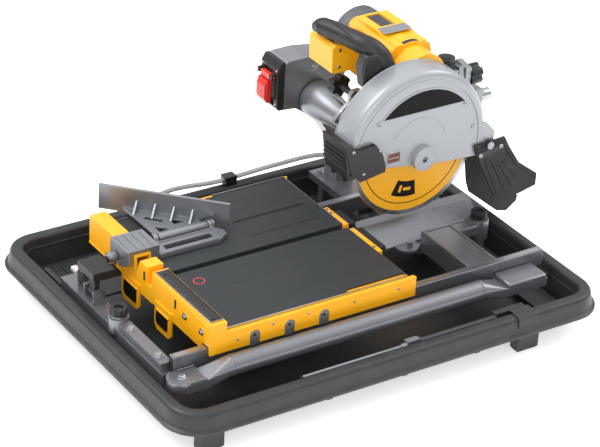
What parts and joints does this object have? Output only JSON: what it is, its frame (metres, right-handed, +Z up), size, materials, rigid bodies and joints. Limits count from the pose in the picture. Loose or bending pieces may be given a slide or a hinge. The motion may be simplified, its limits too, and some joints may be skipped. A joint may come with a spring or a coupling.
{
  "type": "wet tile saw",
  "caption": "Bench wet saw for tile: a sliding cart on rails over a water pan, with a tilting, plunging blade head, guard, pump hose and adjustable edge guide.",
  "frame": {"origin": "centre of the pan at floor level, on the underside of the centre foot", "axes": "+X to the operator's right, +Y away from the operator along the cart's travel, +Z up"},
  "size_m": [0.672, 0.919, 0.478],
  "materials": {
    "pan_plastic": "textured satin",
    "rubber_black": "matt",
    "plastic_black": "satin",
    "frame_paint": "satin powder coat",
    "aluminium_cast": "satin cast",
    "steel": "machined",
    "yellow_paint": "satin",
    "yellow_plastic": "satin",
    "red_plastic": "satin",
    "hose_clear": "clear soft plastic",
    "mat_rubber": "fine ribbed, matt",
    "guard_plastic": "satin",
    "blade_steel": "painted core with a bare rim",
    "core_iron": "laminated"
  },
  "bodies": {
    "frame": {"water_pan": "pan_plastic", "foot_pads": "rubber_black", "drain_plug": "rubber_black", "tray_rod": "steel", "rod_sleeve": "plastic_black", "front_crossmember": "frame_paint", "rear_crossmember": "frame_paint", "right_rail": "frame_paint", "left_rail": "frame_paint", "center_beam": "frame_paint", "frame_posts": "frame_paint", "post_caps": "plastic_black", "side_tube": "frame_paint", "tube_shoes": "aluminium_cast", "column_foot": "frame_paint", "column": "aluminium_cast", "switch_box": "plastic_black", "lock_bracket": "frame_paint", "water_pump": "plastic_black", "hose_clip": "plastic_black", "hose_barb": "plastic_black", "water_hose": "hose_clear", "pivot_shaft": "steel"},
    "paddle": {"switch_paddle": "red_plastic"},
    "lever": {"rail_lock_lever": "plastic_black"},
    "cart": {"cart_body": "yellow_paint", "table_mats": "mat_rubber", "table_trim": "aluminium_cast", "fence_strips": "plastic_black", "slot_inserts": "plastic_black", "tab_plates": "plastic_black", "rear_bumper": "rubber_black", "roller_axles": "steel"},
    "roller_a": {"roller_1": "steel"},
    "roller_b": {"roller_2": "steel"},
    "roller_c": {"roller_3": "steel"},
    "roller_d": {"roller_4": "steel"},
    "guide": {"guide_clamp": "aluminium_cast", "guide_rod": "steel"},
    "guide_screw": {"guide_knob": "aluminium_cast"},
    "angle_stop": {"angle_plate": "aluminium_cast"},
    "arm": {"plunge_arm": "aluminium_cast"},
    "plunge_knob": {"plunge_lock_knob": "plastic_black"},
    "bevel_knob": {"bevel_lock_knob": "plastic_black"},
    "stop_pin": {"bevel_stop_pin": "steel"},
    "head": {"motor_housing": "yellow_plastic", "motor_end_cap": "aluminium_cast", "front_cover": "yellow_plastic", "field_ring": "core_iron", "belt_housing": "aluminium_cast", "drive_belt": "rubber_black", "bevel_quadrant": "aluminium_cast", "guard_shell": "guard_plastic", "handle": "plastic_black", "nozzle_block": "plastic_black"},
    "depth_screw": {"depth_knob": "plastic_black"},
    "rotor": {"motor_rotor": "core_iron"},
    "spindle_body": {"spindle": "steel", "blade_disc": "blade_steel"},
    "flaps": {"splash_flaps": "rubber_black"}
  },
  "joints": [
    {"name": "cart_slide", "type": "slide", "parent": "frame", "child": "cart", "axis": [0, 1, 0], "range_m": [0, 0.41]},
    {"name": "roller_a_spin", "type": "hinge", "parent": "cart", "child": "roller_a", "pos_m": [0.2, -0.24, 0.12755], "axis": [1, 0, 0], "continuous": true},
    {"name": "roller_b_spin", "type": "hinge", "parent": "cart", "child": "roller_b", "pos_m": [0.2, 0.04, 0.12755], "axis": [1, 0, 0], "continuous": true},
    {"name": "roller_c_spin", "type": "hinge", "parent": "cart", "child": "roller_c", "pos_m": [-0.113, -0.24, 0.12755], "axis": [1, 0, 0], "continuous": true},
    {"name": "roller_d_spin", "type": "hinge", "parent": "cart", "child": "roller_d", "pos_m": [-0.113, 0.04, 0.12755], "axis": [1, 0, 0], "continuous": true},
    {"name": "guide_slide", "type": "slide", "parent": "cart", "child": "guide", "axis": [1, 0, 0], "range_m": [0, 0.035]},
    {"name": "guide_knob_turn", "type": "hinge", "parent": "guide", "child": "guide_screw", "pos_m": [-0.08, -0.335, 0.148], "axis": [0, 1, 0], "range_deg": [-180, 180]},
    {"name": "angle_flip", "type": "hinge", "parent": "guide", "child": "angle_stop", "pos_m": [-0.085, -0.19, 0.158], "axis": [0, 1, 0], "range_deg": [0, 15]},
    {"name": "plunge", "type": "hinge", "parent": "frame", "child": "arm", "pos_m": [-0.15, 0.172, 0.268], "axis": [1, 0, 0], "range_deg": [0, 18]},
    {"name": "plunge_knob_turn", "type": "hinge", "parent": "arm", "child": "plunge_knob", "pos_m": [-0.1, 0.148, 0.3464], "axis": [1, 0, 0], "range_deg": [-90, 90]},
    {"name": "bevel_knob_turn", "type": "hinge", "parent": "arm", "child": "bevel_knob", "pos_m": [-0.022, 0.36, 0.366], "axis": [0, 1, 0], "range_deg": [-90, 90]},
    {"name": "stop_pin_pull", "type": "slide", "parent": "arm", "child": "stop_pin", "axis": [0, 1, 0], "range_m": [0, 0.008], "stiffness_N_per_m": 600},
    {"name": "bevel", "type": "hinge", "parent": "arm", "child": "head", "pos_m": [0.016, 0.33, 0.146], "axis": [0, 1, 0], "range_deg": [0, 45]},
    {"name": "depth_knob_turn", "type": "hinge", "parent": "head", "child": "depth_screw", "pos_m": [-0.03, 0.308, 0.39], "axis": [0, 0, 1], "range_deg": [-180, 180]},
    {"name": "spindle_spin", "type": "hinge", "parent": "head", "child": "spindle_body", "pos_m": [0.016, 0.217, 0.267], "axis": [1, 0, 0], "continuous": true},
    {"name": "rotor_spin", "type": "hinge", "parent": "head", "child": "rotor", "pos_m": [-0.13, 0.246, 0.39], "axis": [1, 0, 0], "continuous": true},
    {"name": "flap_swing", "type": "hinge", "parent": "head", "child": "flaps", "pos_m": [0.016, 0.358, 0.258], "axis": [1, 0, 0], "range_deg": [0, 62]},
    {"name": "paddle_press", "type": "hinge", "parent": "frame", "child": "paddle", "pos_m": [-0.264, 0.084, 0.323], "axis": [1, 0, 0], "range_deg": [0, 8], "stiffness_Nm_per_rad": 0.6},
    {"name": "lever_swing", "type": "hinge", "parent": "frame", "child": "lever", "pos_m": [-0.06, -0.377, 0.103], "axis": [1, 0, 0], "range_deg": [0, 40]}
  ],
  "couplings": [
    {"joint": "roller_a_spin", "follows": "cart_slide", "rad_per_m": -105.26},
    {"joint": "roller_b_spin", "follows": "cart_slide", "rad_per_m": -105.26},
    {"joint": "roller_c_spin", "follows": "cart_slide", "rad_per_m": -105.26},
    {"joint": "roller_d_spin", "follows": "cart_slide", "rad_per_m": -105.26},
    {"joint": "rotor_spin", "follows": "spindle_spin", "ratio": 1.7647},
    {"joint": "flap_swing", "follows": "cart_slide", "rad_per_m": 2.554}
  ]
}
